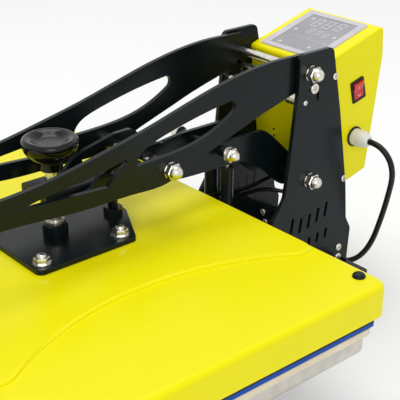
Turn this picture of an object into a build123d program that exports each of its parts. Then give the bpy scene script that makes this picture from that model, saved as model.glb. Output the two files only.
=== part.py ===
# Slide-out heat press with two long lifting arms, a sliding lower platen and a control box.
# Millimetres, +Z up, the operator stands on the -Y side. Z is 0 on the bench.
# Places along Y in the sketches are counted from the pressure screw's axis.
import os
from math import atan2, cos, pi, radians, sin, sqrt, tan

from build123d import *

os.makedirs("parts", exist_ok=True)

# Driving dimensions

platen_width = 600
platen_depth = 400
press_front = -325
press_rear = 484.64
screw_y = -(press_front + press_rear) / 2

foot_height = 14
rail_top = 44
rail_x = 140
rail_front = -210
rail_rear = 270
foot_bar_y = 410
channel_wall = 3
spine_top = 64

platen_bottom = 86
platen_top = 112
pad_top = 121
heat_bottom = 121.5
heat_top = 127.7
cover_bottom = 137.7
rim_top = 176.5
plateau_top = 180
plate_top = 186
cover_half_x = 318
cover_half_y = 218
cover_wall = 2

upright_x = 67.6
upright_bottom = 20
plate_thick = 6
arm_x = 59
carrier_x = 26

top_pivot = (339, 324)
low_pivot = (345, 177)
shaft_radius = 6
front_pin = (119.5, 251.5)
tie_rod = (227, 237)
pin_radius = 6
tie_radius = 5
head_open = 20
arm_ratio = 1.15
running = 0.06

handle_bar_at = (-309, 259)
strut_low = (252, 58)
strut_high = (252, 222)
strut_x = 15
strut_pin = 4
stop_rod_at = (345, 303)
arm_stop_at = (330, 287)

beam_top = 248
screw_radius = 8
bolt_x = 54
bolt_y = 53
corner_x = 288
corner_y = 200
guide_y = 82
guide_radius = 6

box_half = 67
panel_low = (366, 326)
panel_high = (482, 358)
switch_at = (437, 279)
switch_turn = 14
gland_at = (436, 213.5)
gland_length = 27
cord_radius = 4
cable_radius = 3
heater_in = 157.5
sensor_in = 417
coil_centre = (-85, 500)
coil_turns = 2.25
coil_pitch = 8.8
layer_gap = 8.7
coil_across = 88


# Planes whose Y is counted from the pressure screw

def side(x):
    return Plane(origin=(x, screw_y, 0), x_dir=(0, 1, 0), z_dir=(1, 0, 0))


def flat(z):
    return Plane(origin=(0, screw_y, z), x_dir=(1, 0, 0), z_dir=(0, 0, 1))


def facing_front(y):
    return Plane(origin=(0, screw_y + y, 0), x_dir=(1, 0, 0), z_dir=(0, -1, 0))


def save(piece, name):
    piece.part.label = name
    export_step(piece.part, "parts/" + name + ".step")


def rounded(corners):
    points = [(y, z) for y, z, radius in corners]
    return FilletPolyline(*points, radius=[radius for y, z, radius in corners], close=True)


# A point after the press has lifted it by an angle about a pivot

def lifted(point, pivot, angle):
    along = point[0] - pivot[0]
    up = point[1] - pivot[1]
    turn = radians(angle)
    return (pivot[0] + along * cos(turn) + up * sin(turn), pivot[1] + up * cos(turn) - along * sin(turn))


# A cap nut with its hexagon against x = 0 and its dome towards +X

def cap_nut(across_flats, hex_height, bore):
    dome = across_flats * 0.46
    with BuildPart() as nut:
        with BuildSketch(Plane.YZ):
            RegularPolygon(across_flats / 2, 6, major_radius=False)
        extrude(amount=hex_height)
        chamfer(nut.faces().sort_by(Axis.X)[-1].edges(), 1)
        with BuildSketch(Plane.XY):
            with BuildLine():
                CenterArc((hex_height, 0), dome, 0, 90)
                Line((hex_height, dome), (hex_height - 1, dome))
                Line((hex_height - 1, dome), (hex_height - 1, 0))
                Line((hex_height - 1, 0), (hex_height + dome, 0))
            make_face()
        revolve(axis=Axis.X)
        with BuildSketch(Plane.YZ):
            Circle(bore)
        extrude(amount=hex_height, mode=Mode.SUBTRACT)
    return nut.part


# A pan head screw standing on x = 0 towards +X, with a cross recess

def pan_head(radius, height):
    with BuildPart() as head:
        with BuildSketch(Plane.YZ):
            Circle(radius)
        extrude(amount=height)
        fillet(head.faces().sort_by(Axis.X)[-1].edges(), height * 0.55)
        with BuildSketch(Plane.YZ.offset(height * 0.5)):
            Rectangle(radius, radius * 0.22)
            Rectangle(radius * 0.22, radius)
        extrude(amount=height, mode=Mode.SUBTRACT)
    return head.part


# A copy of a fastener on the press's right side, and its mirror image on the left side

def both_sides(shape, x, at):
    right = Pos(x, screw_y + at[0], at[1]) * shape
    return [right, right.mirror(Plane.YZ)]


def fasteners(shapes, name):
    with BuildPart() as group:
        for shape in shapes:
            add(shape)
    save(group, name)


def collar(length, outer, inner):
    with BuildPart() as piece:
        with BuildSketch(Plane.YZ):
            Circle(outer)
            Circle(inner, mode=Mode.SUBTRACT)
        extrude(amount=length)
    return piece.part


def rod(half_length, at, radius):
    with BuildPart() as piece:
        with BuildSketch(side(-half_length)):
            with Locations(at):
                Circle(radius)
        extrude(amount=2 * half_length)
        chamfer(piece.edges().filter_by(GeomType.CIRCLE), 0.5)
    return piece.part


# Rubber feet

foot_places = [(rail_x, -195), (-rail_x, -195), (rail_x, 255), (-rail_x, 255), (105, 410), (-105, 410)]
with BuildPart() as rubber_feet:
    with BuildSketch(flat(0)):
        with Locations(foot_places):
            Circle(13)
    extrude(amount=foot_height)
    chamfer(rubber_feet.faces().group_by(Axis.Z)[0].edges(), 1.5)
save(rubber_feet, "rubber_feet")


# Base frame: folded channels welded into one piece, two spine channels and a rear foot bar

def channel(web, lips, bottom, top):
    inner = web + channel_wall * (1 if lips > web else -1)
    return [
        (web, bottom),
        (web, top),
        (lips, top),
        (lips, top - channel_wall),
        (inner, top - channel_wall),
        (inner, bottom + channel_wall),
        (lips, bottom + channel_wall),
        (lips, bottom),
    ]


with BuildPart() as base_frame:
    for sign in (1, -1):
        with BuildSketch(facing_front(rail_front)):
            with BuildLine():
                Polyline(*channel(sign * (rail_x + 15), sign * (rail_x - 15), foot_height, rail_top), close=True)
            make_face()
        extrude(amount=rail_front - rail_rear)
    for web, lips in ((rail_front, rail_front + 30), (rail_rear, rail_rear - 30)):
        with BuildSketch(side(-rail_x - 15)):
            with BuildLine():
                Polyline(*channel(web, lips, foot_height, rail_top), close=True)
            make_face()
        extrude(amount=2 * (rail_x + 15))
    for sign in (1, -1):
        with BuildSketch(facing_front(rail_rear - channel_wall)):
            with BuildLine():
                Polyline(*channel(sign * upright_x, sign * (upright_x - 30), foot_height, spine_top), close=True)
            make_face()
        extrude(amount=-(foot_bar_y + 14 - rail_rear + channel_wall))
    with BuildSketch(flat(foot_height)):
        with Locations((0, foot_bar_y)):
            RectangleRounded(244, 28, 9)
    extrude(amount=20)
    with BuildSketch(flat(upright_bottom)):
        with GridLocations(2 * upright_x + plate_thick, 2 * foot_bar_y, 2, 2):
            Rectangle(plate_thick, 40)
    extrude(amount=20, mode=Mode.SUBTRACT)
save(base_frame, "base_frame")

# Uprights: two tall plates with five tall slots and three short ones

upright_outline = [
    (rail_rear + 0.2, upright_bottom, 0),
    (rail_rear + 0.2, rail_top + 0.2, 0),
    (262, rail_top + 0.2, 0),
    (262, 70, 8),
    (280, 132, 20),
    (301, 162, 30),
    (309, 220, 60),
    (319, 310, 0),
    (319, 350.5, 9),
    (379, 350.5, 9),
    (398, 261, 60),
    (418, 150, 60),
    (423, 98, 14),
    (433, 80, 10),
    (429, upright_bottom, 0),
]
tall_slots = [(316, 118), (332, 114), (348, 116), (364, 120), (380, 124)]
short_slots = [(350, 84), (366, 86), (382, 88)]
box_screws = [(383, 311), (411, 161)]
base_screws = [(409, 57), (409, 42)]
adjust_slot = (353, 291)
for name, x_low in (("upright_left", -upright_x - plate_thick), ("upright_right", upright_x)):
    with BuildPart() as upright:
        with BuildSketch(side(x_low)):
            with BuildLine():
                rounded(upright_outline)
            make_face()
            with Locations(top_pivot, low_pivot):
                Circle(shaft_radius, mode=Mode.SUBTRACT)
            with Locations(*tall_slots):
                SlotOverall(22, 5, rotation=80, mode=Mode.SUBTRACT)
            with Locations(*short_slots):
                SlotOverall(15, 5, rotation=80, mode=Mode.SUBTRACT)
            with Locations(adjust_slot):
                SlotOverall(14, 4.5, rotation=90, mode=Mode.SUBTRACT)
        extrude(amount=plate_thick)
        chamfer(upright.faces().sort_by(Axis.X)[-1].outer_wire().edges(), 0.4)
    save(upright, name)

# Shafts through the uprights, with washers outside and bushes between the arms and the uprights

outside = upright_x + plate_thick
arm_outside = arm_x + plate_thick
washer_thick = 1.6
fasteners([rod(outside + 9, top_pivot, shaft_radius)], "top_shaft")
fasteners([rod(outside + 9, low_pivot, shaft_radius)], "lower_shaft")
shaft_washer = collar(washer_thick, 10.4, shaft_radius)
shaft_bush = collar(upright_x - arm_outside - 0.6, 11, shaft_radius)
fasteners(
    both_sides(shaft_washer, outside, top_pivot)
    + both_sides(shaft_washer, outside, low_pivot)
    + both_sides(shaft_bush, arm_outside + 0.3, top_pivot),
    "shaft_washers",
)
shaft_nut = cap_nut(19, 9, shaft_radius)
fasteners(
    both_sides(shaft_nut, outside + washer_thick, top_pivot)
    + both_sides(shaft_nut, outside + washer_thick, low_pivot),
    "shaft_cap_nuts",
)

# Stop rod across the uprights, and the stop bolts that the closed arms rest above

stop_rod = Pos(-upright_x, screw_y + stop_rod_at[0], stop_rod_at[1]) * collar(2 * upright_x, 4, 2)
fasteners([stop_rod] + both_sides(collar(22, 7, 2.5), upright_x - 22, arm_stop_at), "arm_stops")

# Cross plate between the uprights, standing on the spine channels

cross_plate_y = 300
with BuildPart() as cross_plate:
    with BuildSketch(facing_front(cross_plate_y)):
        with Locations((0, (spine_top + 140) / 2)):
            RectangleRounded(2 * upright_x, 140 - spine_top, 3)
    extrude(amount=-4)
    with BuildSketch(flat(spine_top)):
        with Locations((0, cross_plate_y + 12)):
            Rectangle(2 * upright_x, 24)
    extrude(amount=3)
save(cross_plate, "cross_plate")

# Screws of the uprights and of the cross plate

small_screw = pan_head(4.6, 2.8)
frame_screws = both_sides(pan_head(7, 3.6), outside, stop_rod_at)
frame_screws += both_sides(pan_head(3.4, 2), outside, arm_stop_at)
for at in box_screws:
    frame_screws += both_sides(small_screw, outside, at)
for at in base_screws:
    frame_screws += both_sides(pan_head(5.5, 3.2), outside, at)
for x, z in ((36, 131), (41, 118), (-36, 131), (-41, 118)):
    frame_screws.append(Pos(x, screw_y + cross_plate_y, z) * Rot(0, 0, -90) * small_screw)
fasteners(frame_screws, "frame_screws")

# Lower strut bracket on the middle bar: a foot plate with four ears, and its pin

with BuildPart() as strut_bracket:
    with BuildSketch(flat(rail_top)):
        with Locations((0, strut_low[0])):
            RectangleRounded(60, 28, 3)
    extrude(amount=3)
    for x_low, x_high in ((-26, -22), (-8, -5), (5, 8), (22, 26)):
        with BuildSketch(side(x_low)):
            with BuildLine():
                Line((strut_low[0] - 9, rail_top), (strut_low[0] + 9, rail_top))
                Line((strut_low[0] + 9, rail_top), (strut_low[0] + 9, strut_low[1]))
                CenterArc(strut_low, 9, 0, 180)
                Line((strut_low[0] - 9, strut_low[1]), (strut_low[0] - 9, rail_top))
            make_face()
        extrude(amount=x_high - x_low)
    with BuildSketch(side(-26)):
        with Locations(strut_low):
            Circle(strut_pin)
    extrude(amount=52, mode=Mode.SUBTRACT)
save(strut_bracket, "strut_bracket")
fasteners([rod(30, strut_low, strut_pin)], "strut_lower_pin")

# Slide channels: two guides on the rails, slotted along the top and closed by a stop at the rear

slide_half = 13
slide_height = 22
lip_gap = 6
groove_half = 10
with BuildPart() as slide_channels:
    with BuildSketch(facing_front(rail_front)):
        for x in (rail_x, -rail_x):
            with Locations((x, rail_top + slide_height / 2)):
                Rectangle(2 * slide_half, slide_height)
            with Locations((x, rail_top + 11)):
                Rectangle(2 * groove_half, 12, mode=Mode.SUBTRACT)
            with Locations((x, rail_top + 19)):
                Rectangle(2 * lip_gap, 8, mode=Mode.SUBTRACT)
    extrude(amount=rail_front - 262)
    with BuildSketch(facing_front(262)):
        with Locations((rail_x, rail_top + 11), (-rail_x, rail_top + 11)):
            Rectangle(2 * slide_half, slide_height)
    extrude(amount=-3)
save(slide_channels, "slide_channels")

# Drawer: slide bars, carriage plate, platen supports, lower platen, silicone pad and pull handle

bar_rear = 257
with BuildPart() as slide_bars:
    with BuildSketch(facing_front(rail_front + 4)):
        for x in (rail_x, -rail_x):
            with Locations((x, rail_top + 11)):
                Rectangle(2 * groove_half - 1, 11)
            with Locations((x, rail_top + 21)):
                Rectangle(2 * lip_gap - 1, 10)
    extrude(amount=rail_front + 4 - bar_rear)
save(slide_bars, "slide_bars")
carriage_bottom = rail_top + 26
with BuildPart() as carriage_plate:
    with BuildSketch(flat(carriage_bottom)):
        RectangleRounded(360, 380, 10)
    extrude(amount=4)
save(carriage_plate, "carriage_plate")
with BuildPart() as platen_supports:
    with BuildSketch(flat(carriage_bottom + 4)):
        with GridLocations(280, 300, 2, 2):
            Circle(18)
    extrude(amount=platen_bottom - carriage_bottom - 4)
save(platen_supports, "platen_supports")
with BuildPart() as lower_platen:
    with BuildSketch(flat(platen_bottom)):
        RectangleRounded(platen_width + 6, platen_depth + 11, 14)
    extrude(amount=platen_top - platen_bottom)
    fillet(lower_platen.faces().sort_by(Axis.Z)[0].edges(), 7)
    fillet(lower_platen.faces().sort_by(Axis.Z)[-1].edges(), 1.5)
save(lower_platen, "lower_platen")
with BuildPart() as silicone_pad:
    with BuildSketch(flat(platen_top)):
        RectangleRounded(platen_width + 18, platen_depth + 16, 14)
    extrude(amount=pad_top - platen_top)
    fillet(silicone_pad.faces().sort_by(Axis.Z)[-1].edges(), 2)
save(silicone_pad, "silicone_pad")
pull_z = carriage_bottom + 2
with BuildPart() as drawer_handle:
    with BuildLine(flat(pull_z)) as pull_path:
        FilletPolyline((-75, -190), (-75, -238), (75, -238), (75, -190), radius=16)
    with BuildSketch(Plane(origin=(-75, screw_y - 190, pull_z), z_dir=(0, -1, 0))):
        Circle(5)
    sweep()
save(drawer_handle, "drawer_handle")
with BuildPart() as drawer_grip:
    with BuildSketch(Plane(origin=(-50, screw_y - 238, pull_z), z_dir=(1, 0, 0))):
        Circle(11)
        Circle(5.05, mode=Mode.SUBTRACT)
    extrude(amount=100)
    fillet(drawer_grip.faces().group_by(Axis.X)[0].edges().sort_by(SortBy.LENGTH)[-1], 3)
    fillet(drawer_grip.faces().group_by(Axis.X)[-1].edges().sort_by(SortBy.LENGTH)[-1], 3)
save(drawer_grip, "drawer_grip")

# Heat platen with its serpentine element, insulation, posts and studs

heat_width = platen_width + 20
heat_depth = platen_depth + 20
with BuildPart() as heat_platen:
    with BuildSketch(flat(heat_bottom)):
        RectangleRounded(heat_width, heat_depth, 8)
    extrude(amount=heat_top - heat_bottom)
    fillet(heat_platen.faces().sort_by(Axis.Z)[0].edges(), 1.5)
save(heat_platen, "heat_platen")
element_z = heat_top + 4.2
with BuildPart() as heating_element:
    passes = [-150, -90, -30, 30, 90, 150]
    corners = []
    for index, y in enumerate(passes):
        ends = (-240, 240) if index % 2 == 0 else (240, -240)
        corners += [(ends[0], y), (ends[1], y)]
    with BuildLine(flat(element_z)):
        FilletPolyline(*corners, radius=28)
    with BuildSketch(Plane(origin=(-240, screw_y - 150, element_z), z_dir=(1, 0, 0))):
        Circle(4)
    sweep()
save(heating_element, "heating_element")
with BuildPart() as edge_gasket:
    with BuildSketch(flat(heat_top)):
        RectangleRounded(heat_width, heat_depth, 8)
        RectangleRounded(550, 350, 6, mode=Mode.SUBTRACT)
    extrude(amount=cover_bottom - heat_top)
save(edge_gasket, "edge_gasket")
blanket_bottom = cover_bottom + 0.3
with BuildPart() as insulation_blanket:
    with BuildSketch(flat(blanket_bottom)):
        RectangleRounded(560, 360, 10)
        with GridLocations(2 * bolt_x, 2 * bolt_y, 2, 2):
            Circle(10, mode=Mode.SUBTRACT)
    extrude(amount=28)
save(insulation_blanket, "insulation_blanket")
cavity_top = rim_top - cover_wall
with BuildPart() as platen_posts:
    with BuildSketch(flat(heat_top)):
        with GridLocations(2 * bolt_x, 2 * bolt_y, 2, 2):
            Circle(9)
    extrude(amount=cavity_top - heat_top)
    with BuildSketch(flat(cavity_top)):
        with GridLocations(2 * bolt_x, 2 * bolt_y, 2, 2):
            Circle(5)
    extrude(amount=plate_top + 11 - cavity_top)
    fillet(platen_posts.faces().group_by(Axis.Z)[-1].edges(), 2.5)
    with BuildSketch(flat(cover_bottom)):
        with GridLocations(2 * corner_x, 2 * corner_y, 2, 2):
            Circle(4.5)
    extrude(amount=cavity_top - cover_bottom)
save(platen_posts, "platen_posts")

# Cover of the heat platen: a deep shell with a raised panel whose long sides curve inward

with BuildPart() as cover_cavity:
    with BuildSketch(flat(cover_bottom)):
        RectangleRounded(2 * (cover_half_x - cover_wall), 2 * (cover_half_y - cover_wall), 14)
    extrude(amount=cavity_top - cover_bottom)
    fillet(cover_cavity.faces().sort_by(Axis.Z)[-1].edges(), 6)
panel_rear = 211
panel_wide = 232
panel_waist = 157
with BuildPart() as platen_cover:
    with BuildSketch(flat(cover_bottom)):
        RectangleRounded(2 * cover_half_x, 2 * cover_half_y, 16)
    extrude(amount=rim_top - cover_bottom)
    fillet(platen_cover.faces().sort_by(Axis.Z)[-1].edges(), 8)
    with BuildSketch(flat(rim_top - 1)):
        with BuildLine():
            ThreePointArc((panel_wide, -panel_rear), (panel_waist, 0), (panel_wide, panel_rear))
            Line((panel_wide, panel_rear), (-panel_wide, panel_rear))
            ThreePointArc((-panel_wide, panel_rear), (-panel_waist, 0), (-panel_wide, -panel_rear))
            Line((-panel_wide, -panel_rear), (panel_wide, -panel_rear))
        make_face()
        fillet(vertices(), 18)
    extrude(amount=plateau_top - rim_top + 1)
    fillet(platen_cover.faces().sort_by(Axis.Z)[-1].edges(), 3)
    add(cover_cavity.part, mode=Mode.SUBTRACT)
    with BuildSketch(flat(cavity_top - 1)):
        with GridLocations(2 * bolt_x, 2 * bolt_y, 2, 2):
            Circle(5.1)
        with GridLocations(2 * corner_x, 2 * corner_y, 2, 2):
            Circle(3.1)
    extrude(amount=12, mode=Mode.SUBTRACT)
save(platen_cover, "platen_cover")
with BuildPart() as cover_screws:
    with BuildSketch(flat(rim_top)):
        with GridLocations(2 * corner_x, 2 * corner_y, 2, 2):
            Circle(7.5)
    extrude(amount=4.5)
    fillet(cover_screws.faces().group_by(Axis.Z)[-1].edges(), 4)
    with BuildSketch(flat(cavity_top)):
        with GridLocations(2 * corner_x, 2 * corner_y, 2, 2):
            Circle(3)
    extrude(amount=cover_wall)
save(cover_screws, "cover_screws")

# Centre plate with its flange nuts, the thrust cup of the screw and the guide post

with BuildPart() as centre_plate:
    with BuildSketch(flat(plateau_top)):
        with BuildLine():
            rounded([(-70, -67, 9), (70, -67, 9), (70, 64, 7), (0, 101, 12), (-70, 64, 7)])
        make_face()
        with GridLocations(2 * bolt_x, 2 * bolt_y, 2, 2):
            Circle(5.1, mode=Mode.SUBTRACT)
    extrude(amount=plate_top - plateau_top)
    chamfer(centre_plate.faces().sort_by(Axis.Z)[-1].outer_wire().edges(), 0.6)
save(centre_plate, "centre_plate")
with BuildPart() as flange_nuts:
    with BuildSketch(flat(plate_top)):
        with GridLocations(2 * bolt_x, 2 * bolt_y, 2, 2):
            Circle(11)
    extrude(amount=1.6)
    with BuildSketch(flat(plate_top + 1.6)):
        with GridLocations(2 * bolt_x, 2 * bolt_y, 2, 2):
            RegularPolygon(8, 6, major_radius=False)
    extrude(amount=6.4)
    chamfer(flange_nuts.faces().group_by(Axis.Z)[-1].edges(), 0.8)
    with BuildSketch(flat(plate_top)):
        with GridLocations(2 * bolt_x, 2 * bolt_y, 2, 2):
            Circle(5)
    extrude(amount=8, mode=Mode.SUBTRACT)
save(flange_nuts, "flange_nuts")
cup_floor = plate_top + 4
with BuildPart() as thrust_cup:
    with BuildSketch(flat(plate_top)):
        Circle(15)
    extrude(amount=13)
    chamfer(thrust_cup.faces().sort_by(Axis.Z)[-1].edges(), 1.5)
    with BuildSketch(flat(cup_floor)):
        Circle(screw_radius + running)
    extrude(amount=20, mode=Mode.SUBTRACT)
save(thrust_cup, "thrust_cup")
with BuildPart() as guide_post:
    with BuildSketch(flat(plate_top)):
        with Locations((0, guide_y)):
            RegularPolygon(10, 6, major_radius=False)
    extrude(amount=8)
    with BuildSketch(flat(plate_top + 8)):
        with Locations((0, guide_y)):
            Circle(guide_radius)
    extrude(amount=44)
    chamfer(guide_post.faces().sort_by(Axis.Z)[-1].edges(), 1)
save(guide_post, "guide_post")

# Pressure knob and its screw

knob_bottom = 265.5
with BuildPart() as pressure_screw:
    with BuildSketch(flat(cup_floor + 0.3)):
        Circle(screw_radius)
    extrude(amount=knob_bottom + 14 - cup_floor - 0.3)
    chamfer(pressure_screw.faces().sort_by(Axis.Z)[0].edges(), 1)
    with BuildSketch(flat(plate_top + 13.3)):
        Circle(11.5)
    extrude(amount=3)
save(pressure_screw, "pressure_screw")
with BuildPart() as pressure_knob:
    with BuildSketch(facing_front(0)):
        with BuildLine():
            Line((0, knob_bottom + 14), (screw_radius, knob_bottom + 14))
            Line((screw_radius, knob_bottom + 14), (screw_radius, knob_bottom))
            Line((screw_radius, knob_bottom), (13.5, knob_bottom))
            Line((13.5, knob_bottom), (13.5, knob_bottom + 9))
            Spline(
                (13.5, knob_bottom + 9),
                (19, knob_bottom + 13.5),
                (28, knob_bottom + 20.5),
                (32.2, knob_bottom + 31),
                tangents=[(0, 1), (0.1, 1)],
            )
            Spline(
                (32.2, knob_bottom + 31),
                (30.6, knob_bottom + 37),
                (27.4, knob_bottom + 38.5),
                tangents=[(0.1, 1), (-1, -0.1)],
            )
            Spline(
                (27.4, knob_bottom + 38.5),
                (18, knob_bottom + 33.5),
                (0, knob_bottom + 31.5),
                tangents=[(-1, -0.1), (-1, 0)],
            )
            Line((0, knob_bottom + 31.5), (0, knob_bottom + 14))
        make_face()
    revolve(axis=Axis((0, screw_y, 0), (0, 0, 1)))
save(pressure_knob, "pressure_knob")

# Head: two carrier plates, each with a cam slot that follows the front pin as the arms lift faster

slot_path = []
for step in (-0.3, head_open / 2, head_open + 0.3):
    pin_then = lifted(front_pin, top_pivot, arm_ratio * step)
    slot_path.append(lifted(pin_then, low_pivot, -step))
print("cam slot", [tuple(round(v, 2) for v in point) for point in slot_path])
carrier_outline = [
    (-20, 221, 4),
    (-20, 240, 4),
    (30, 242, 8),
    (46, 256, 6),
    (60, 262, 8),
    (108, 272.5, 10),
    (136, 273, 16),
    (151, 253, 5),
    (156, 241, 4),
    (214, 246.5, 0),
    (300, 246, 12),
    (316, 234, 20),
    (362, 189, 14),
    (359, 159, 14),
    (335, 159, 18),
    (300, 192, 20),
    (262, 213, 30),
    (180, 216, 30),
    (110, 221, 20),
]
for name, x_low in (("carrier_left", -carrier_x - plate_thick), ("carrier_right", carrier_x)):
    with BuildPart() as carrier:
        with BuildSketch(side(x_low)):
            with BuildLine():
                rounded(carrier_outline)
            make_face()
            with BuildLine(mode=Mode.PRIVATE) as cam:
                ThreePointArc(*slot_path)
            SlotArc(cam.edge(), 2 * (pin_radius + 0.4), mode=Mode.SUBTRACT)
            with Locations(low_pivot):
                Circle(12, mode=Mode.SUBTRACT)
            with Locations(strut_high):
                Circle(strut_pin, mode=Mode.SUBTRACT)
            with Locations(tie_rod):
                Circle(tie_radius, mode=Mode.SUBTRACT)
        extrude(amount=plate_thick)
    save(carrier, name)

# Head hub on the lower shaft, the tie rod and the spacers beside the carriers and the strut eyes

carrier_outside = carrier_x + plate_thick
hub = collar(2 * carrier_outside, 12, shaft_radius + running)
hub_spacer = collar(upright_x - carrier_outside - 0.8, 9, shaft_radius + running)
strut_spacer = collar(2.8, 7, strut_pin)
middle_spacer = collar(2 * (strut_x - 6.6), 7, strut_pin)
tie_half = 55
tie_sleeve = collar(14, 6.5, tie_radius)
fasteners(
    [
        Pos(-carrier_outside, screw_y + low_pivot[0], low_pivot[1]) * hub,
        Pos(6.6 - strut_x, screw_y + strut_high[0], strut_high[1]) * middle_spacer,
        rod(tie_half, tie_rod, tie_radius),
    ]
    + both_sides(tie_sleeve, carrier_outside, tie_rod)
    + both_sides(hub_spacer, carrier_outside, low_pivot)
    + both_sides(strut_spacer, carrier_x - 2.8, strut_high),
    "head_hub",
)

# Pressure beam with its welded nut and the guide lug behind it, its bolts and the nuts of the tie rod

beam_front = -25
beam_rear = 60
beam_bottom = 222
lug_bottom = 222
with BuildPart() as pressure_beam:
    with BuildSketch(facing_front(beam_front)):
        with BuildLine():
            rounded(
                [
                    (-carrier_x, beam_bottom, 0),
                    (-carrier_x, beam_top, 5),
                    (carrier_x, beam_top, 5),
                    (carrier_x, beam_bottom, 0),
                    (carrier_x - 5, beam_bottom, 0),
                    (carrier_x - 5, beam_top - 6, 0),
                    (-carrier_x + 5, beam_top - 6, 0),
                    (-carrier_x + 5, beam_bottom, 0),
                ]
            )
        make_face()
    extrude(amount=beam_front - beam_rear)
    with BuildSketch(flat(beam_top - 6)):
        Circle(screw_radius + 1)
    extrude(amount=6, mode=Mode.SUBTRACT)
    with BuildSketch(flat(beam_top - 24)):
        Circle(15)
        Circle(screw_radius + running, mode=Mode.SUBTRACT)
    extrude(amount=18)
    with BuildSketch(flat(lug_bottom)):
        with Locations((0, (beam_rear - 1 + guide_y + 15) / 2)):
            Rectangle(2 * carrier_x, guide_y + 15 - beam_rear + 1)
        with Locations((0, guide_y)):
            Circle(guide_radius + running, mode=Mode.SUBTRACT)
    extrude(amount=6)
save(pressure_beam, "pressure_beam")
with BuildPart() as beam_bolt:
    with BuildSketch(Plane.YZ):
        RegularPolygon(6.5, 6, major_radius=False)
    extrude(amount=5)
    chamfer(beam_bolt.faces().sort_by(Axis.X)[-1].edges(), 0.7)
beam_bolts = both_sides(collar(washer_thick, 9.3, tie_radius), carrier_outside + 14, tie_rod)
beam_bolts += both_sides(cap_nut(17, 8, tie_radius), carrier_outside + 14 + washer_thick, tie_rod)
for at in ((0, 231), (24, 231), (46, 227)):
    beam_bolts += both_sides(beam_bolt.part, carrier_outside, at)
fasteners(beam_bolts, "beam_bolts")

# Struts: cylinders that swing on the lower pin, rods that slide in them, and their upper pin

strut_top = 204
with BuildPart() as strut_cylinders:
    for x in (strut_x, -strut_x):
        with BuildSketch(side(x - 6)):
            with Locations(strut_low):
                Circle(8)
        extrude(amount=12)
        with BuildSketch(flat(strut_low[1])):
            with Locations((x, strut_low[0])):
                Circle(5)
        extrude(amount=14)
        with BuildSketch(side(x - 6)):
            with Locations(strut_low):
                Circle(4 + running)
        extrude(amount=12, mode=Mode.SUBTRACT)
        with BuildSketch(flat(strut_low[1] + 11)):
            with Locations((x, strut_low[0])):
                Circle(9)
        extrude(amount=strut_top - strut_low[1] - 11)
    fillet(strut_cylinders.faces().group_by(Axis.Z)[-1].edges(), 2)
    for x in (strut_x, -strut_x):
        with BuildSketch(flat(strut_low[1] + 20)):
            with Locations((x, strut_low[0])):
                Circle(4 + running)
        extrude(amount=strut_top - strut_low[1] - 20, mode=Mode.SUBTRACT)
save(strut_cylinders, "strut_cylinders")
strut_play = 1.2
with BuildPart() as strut_rods:
    for x in (strut_x, -strut_x):
        with BuildSketch(flat(strut_low[1] + 24)):
            with Locations((x, strut_high[0])):
                Circle(4)
        extrude(amount=strut_high[1] - strut_low[1] - 24 - 6)
        with BuildSketch(side(x - 6)):
            with Locations(strut_high):
                Circle(9)
        extrude(amount=12)
        with BuildSketch(side(x - 6)):
            with Locations(strut_high):
                Circle(strut_pin + strut_play)
        extrude(amount=12, mode=Mode.SUBTRACT)
save(strut_rods, "strut_rods")
fasteners([rod(carrier_outside + 4, strut_high, strut_pin)], "strut_upper_pin")

# Lifting arms: two long plates, each with two openings and a round rear end

nose_radius = 16
arm_top_line = [(-309, 275), (-200, 276.5), (-103, 278.5), (-30, 285.5), (25, 296), (82, 308)]
arm_top_line += [(142, 323.5), (190, 335.5), (240, 344.5), (285, 348.3), (339, 347.5)]
arm_rear_line = [(339, 347.5), (356, 338), (361, 324), (353, 313.5), (340, 311), (329, 306), (322, 300)]
arm_low_rear_line = [(322, 300), (300, 294.5), (259, 283.8), (219, 271), (160, 251.8), (134, 242)]
arm_low_line = [(134, 242), (112, 235.8), (66, 236.4), (20, 237), (-21, 238.5), (-58, 242)]
arm_low_line += [(-103, 244.8), (-200, 244.5), (-309, 243)]
front_opening_top = [(-80, 262), (-46, 268), (-5, 272), (40, 278), (55, 281.5)]
front_opening_low = [(29, 255), (-14, 258), (-62, 261)]
rear_opening_top = [(71, 272.5), (80, 284.5), (98, 292.5), (125, 299.5), (180, 310), (212, 314)]
rear_opening_low = [(218.5, 299.5), (190, 284.5), (165, 276.5), (126, 271), (100, 269.8), (78, 269.5)]
for name, x_low in (("arm_left", -arm_x - plate_thick), ("arm_right", arm_x)):
    with BuildPart() as arm:
        with BuildSketch(side(x_low)):
            with BuildLine():
                Spline(*arm_top_line, tangents=[(1, 0), (1, 0)])
                Spline(*arm_rear_line, tangents=[(1, 0), (-1, -0.8)])
                Spline(*arm_low_rear_line, tangents=[(-1, -0.2), (-1, -0.4)])
                Spline(*arm_low_line, tangents=[(-1, -0.4), (-1, 0)])
                CenterArc(handle_bar_at, nose_radius, 270, -180)
            make_face()
            with BuildLine():
                Spline(*front_opening_top)
                ThreePointArc((55, 281.5), (58, 279.5), (56.5, 276.5))
                Line((56.5, 276.5), (32, 256.5))
                ThreePointArc((32, 256.5), (30.5, 255.3), (29, 255))
                Spline(*front_opening_low)
                ThreePointArc((-62, 261), (-74, 261.3), (-80, 262))
            make_face(mode=Mode.SUBTRACT)
            with BuildLine():
                Spline(*rear_opening_top)
                ThreePointArc((212, 314), (221, 307), (218.5, 299.5))
                Spline(*rear_opening_low)
                ThreePointArc((78, 269.5), (72.5, 269.8), (71, 272.5))
            make_face(mode=Mode.SUBTRACT)
            with Locations(top_pivot):
                Circle(shaft_radius + running, mode=Mode.SUBTRACT)
            with Locations(front_pin):
                Circle(pin_radius, mode=Mode.SUBTRACT)
            with Locations(handle_bar_at):
                Circle(11, mode=Mode.SUBTRACT)
        extrude(amount=plate_thick)
    save(arm, name)

# Front pin of the arms, with its sleeves, washers and cap nuts

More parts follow.
